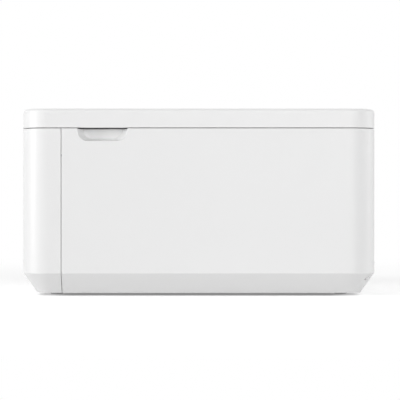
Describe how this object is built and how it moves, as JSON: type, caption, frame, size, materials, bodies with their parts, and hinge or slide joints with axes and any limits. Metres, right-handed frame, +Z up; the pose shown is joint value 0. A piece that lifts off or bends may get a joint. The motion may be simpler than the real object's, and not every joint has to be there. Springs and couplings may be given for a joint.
{
  "type": "multifunction printer",
  "caption": "White all-in-one office printer: box body with rounded corners and chamfered foot, hinged scanner lid, fold-down front cover, rear paper feed",
  "frame": {"origin": "on the ground under the middle of the outline", "axes": "+X to the right along the front, +Y from the front to the back, +Z up"},
  "size_m": [0.4, 0.33, 0.211],
  "materials": {
    "casing_white": "fine moulded texture",
    "lid_white": "fine moulded texture",
    "inner_grey": "moulded",
    "dark_plastic": "moulded",
    "gear_plastic": "moulded acetal",
    "rubber": "soft",
    "roller_rubber": "ground",
    "glass": "polished",
    "foam": "white foam",
    "steel": "zinc plated sheet",
    "polished_steel": "ground rod",
    "motor_metal": "plated can",
    "board_green": "solder mask",
    "clear_film": "clear film",
    "cartridge_black": "moulded",
    "panel_black": "glossy"
  },
  "bodies": {
    "base": {"base_tray": "dark_plastic", "rubber_feet": "rubber", "left_side_cover": "casing_white", "right_side_cover": "casing_white", "rear_cover": "casing_white", "rear_top_housing": "casing_white", "front_cover_hinge_pins": "steel", "lid_hinges": "inner_grey", "scanner_frame": "lid_white", "scanner_glass": "glass", "scanner_tray": "dark_plastic", "scan_guide_rod": "polished_steel", "scan_motor": "motor_metal", "scan_belt": "rubber", "control_panel": "panel_black", "feed_chute": "inner_grey", "main_frame": "steel", "carriage_guide_rod": "polished_steel", "encoder_strip": "clear_film", "carriage_belt": "rubber", "carriage_motor": "motor_metal", "platen": "dark_plastic", "feed_motor": "motor_metal", "star_wheel_bar": "dark_plastic", "maintenance_station": "inner_grey", "waste_ink_pad": "foam", "output_chute": "inner_grey", "main_board": "board_green", "power_supply": "motor_metal", "power_inlet": "dark_plastic"},
    "lid": {"lid_shell": "lid_white", "lid_liner": "lid_white", "document_pad": "foam"},
    "front_cover": {"front_cover": "casing_white", "front_cover_liner": "inner_grey"},
    "tray_extension": {"tray_extension": "inner_grey"},
    "rear_feed_cover": {"rear_feed_cover": "casing_white"},
    "paper_support": {"paper_support": "inner_grey"},
    "paper_guide_left": {"paper_guide_left": "inner_grey"},
    "paper_guide_right": {"paper_guide_right": "inner_grey"},
    "pickup_roller": {"pickup_roller": "roller_rubber"},
    "carriage": {"carriage": "dark_plastic", "black_cartridge": "cartridge_black", "colour_cartridge": "cartridge_black"},
    "carriage_drive_pulley": {"carriage_drive_pulley": "gear_plastic"},
    "carriage_idler_pulley": {"carriage_idler_pulley": "gear_plastic"},
    "feed_roller": {"feed_roller": "polished_steel", "feed_gear": "gear_plastic"},
    "exit_roller": {"exit_roller": "roller_rubber", "exit_gear": "gear_plastic"},
    "idler_gear": {"idler_gear": "gear_plastic"},
    "motor_pinion": {"motor_pinion": "gear_plastic"},
    "pinch_rollers": {"pinch_rollers": "roller_rubber"},
    "star_wheels": {"star_wheels": "steel"},
    "scan_bar": {"scan_bar": "dark_plastic"},
    "scan_drive_pulley": {"scan_drive_pulley": "gear_plastic"},
    "scan_idler_pulley": {"scan_idler_pulley": "gear_plastic"},
    "power_button": {"power_button": "inner_grey"},
    "cancel_button": {"cancel_button": "inner_grey"},
    "copy_button": {"copy_button": "inner_grey"}
  },
  "joints": [
    {"name": "lid_hinge", "type": "hinge", "parent": "base", "child": "lid", "pos_m": [0, 0.101, 0.207], "axis": [-1, 0, 0], "range_deg": [0, 75]},
    {"name": "front_cover_hinge", "type": "hinge", "parent": "base", "child": "front_cover", "pos_m": [0, -0.151, 0.02], "axis": [1, 0, 0], "range_deg": [0, 90]},
    {"name": "tray_extension_slide", "type": "slide", "parent": "front_cover", "child": "tray_extension", "axis": [0, 0, 1], "range_m": [0, 0.095]},
    {"name": "rear_feed_cover_hinge", "type": "hinge", "parent": "base", "child": "rear_feed_cover", "pos_m": [0.01, 0.1536, 0.2055], "axis": [-1, 0, 0], "range_deg": [0, 105]},
    {"name": "paper_support_slide", "type": "slide", "parent": "rear_feed_cover", "child": "paper_support", "axis": [0, -1, 0], "range_m": [0, 0.024]},
    {"name": "paper_guide_left_slide", "type": "slide", "parent": "base", "child": "paper_guide_left", "axis": [1, 0, 0], "range_m": [0, 0.055]},
    {"name": "paper_guide_right_slide", "type": "slide", "parent": "base", "child": "paper_guide_right", "axis": [-1, 0, 0], "range_m": [0, 0.055]},
    {"name": "pickup_roller_turn", "type": "hinge", "parent": "base", "child": "pickup_roller", "pos_m": [0.01, 0.11179, 0.11979], "axis": [1, 0, 0], "continuous": true},
    {"name": "carriage_slide", "type": "slide", "parent": "base", "child": "carriage", "axis": [-1, 0, 0], "range_m": [0, 0.25]},
    {"name": "carriage_drive_pulley_turn", "type": "hinge", "parent": "base", "child": "carriage_drive_pulley", "pos_m": [-0.16, 0.0545, 0.122], "axis": [0, -1, 0], "range_deg": [-10, 2090]},
    {"name": "carriage_idler_pulley_turn", "type": "hinge", "parent": "base", "child": "carriage_idler_pulley", "pos_m": [0.16, 0.0545, 0.122], "axis": [0, -1, 0], "range_deg": [-10, 2090]},
    {"name": "feed_roller_turn", "type": "hinge", "parent": "base", "child": "feed_roller", "pos_m": [0, 0.036, 0.066], "axis": [1, 0, 0], "continuous": true},
    {"name": "exit_roller_turn", "type": "hinge", "parent": "base", "child": "exit_roller", "pos_m": [0, -0.03, 0.066], "axis": [1, 0, 0], "continuous": true},
    {"name": "idler_gear_turn", "type": "hinge", "parent": "base", "child": "idler_gear", "pos_m": [-0.181, 0.0012, 0.066], "axis": [1, 0, 0], "continuous": true},
    {"name": "motor_pinion_turn", "type": "hinge", "parent": "base", "child": "motor_pinion", "pos_m": [-0.181, 0.05451, 0.04394], "axis": [1, 0, 0], "continuous": true},
    {"name": "pinch_roller_turn", "type": "hinge", "parent": "base", "child": "pinch_rollers", "pos_m": [0.01, 0.036, 0.0758], "axis": [1, 0, 0], "continuous": true},
    {"name": "star_wheel_turn", "type": "hinge", "parent": "base", "child": "star_wheels", "pos_m": [0.01, -0.03, 0.0753], "axis": [1, 0, 0], "continuous": true},
    {"name": "scan_bar_slide", "type": "slide", "parent": "base", "child": "scan_bar", "axis": [1, 0, 0], "range_m": [0, 0.296]},
    {"name": "scan_drive_pulley_turn", "type": "hinge", "parent": "base", "child": "scan_drive_pulley", "pos_m": [-0.172, 0.08, 0.1645], "axis": [0, 0, 1], "range_deg": [-10, 2886]},
    {"name": "scan_idler_pulley_turn", "type": "hinge", "parent": "base", "child": "scan_idler_pulley", "pos_m": [0.172, 0.08, 0.1645], "axis": [0, 0, 1], "range_deg": [-10, 2886]},
    {"name": "power_button_press", "type": "slide", "parent": "base", "child": "power_button", "axis": [0, 0, -1], "range_m": [0, 0.0008], "stiffness_N_per_m": 400, "springref_m": -0.0005},
    {"name": "cancel_button_press", "type": "slide", "parent": "base", "child": "cancel_button", "axis": [0, 0, -1], "range_m": [0, 0.0008], "stiffness_N_per_m": 400, "springref_m": -0.0005},
    {"name": "copy_button_press", "type": "slide", "parent": "base", "child": "copy_button", "axis": [0, 0, -1], "range_m": [0, 0.0008], "stiffness_N_per_m": 400, "springref_m": -0.0005}
  ],
  "couplings": [
    {"joint": "tray_extension_slide", "follows": "front_cover_hinge", "m_per_rad": 0.0598},
    {"joint": "paper_support_slide", "follows": "rear_feed_cover_hinge", "m_per_rad": 0.013},
    {"joint": "paper_guide_right_slide", "follows": "paper_guide_left_slide", "ratio": 1},
    {"joint": "carriage_drive_pulley_turn", "follows": "carriage_slide", "rad_per_m": 144.93},
    {"joint": "carriage_idler_pulley_turn", "follows": "carriage_slide", "rad_per_m": 144.93},
    {"joint": "exit_roller_turn", "follows": "feed_roller_turn", "ratio": 1.2},
    {"joint": "idler_gear_turn", "follows": "feed_roller_turn", "ratio": -1.6364},
    {"joint": "motor_pinion_turn", "follows": "feed_roller_turn", "ratio": -3},
    {"joint": "pinch_roller_turn", "follows": "feed_roller_turn", "ratio": -1.7143},
    {"joint": "star_wheel_turn", "follows": "feed_roller_turn", "ratio": -1.5},
    {"joint": "scan_drive_pulley_turn", "follows": "scan_bar_slide", "rad_per_m": 169.49},
    {"joint": "scan_idler_pulley_turn", "follows": "scan_bar_slide", "rad_per_m": 169.49}
  ]
}
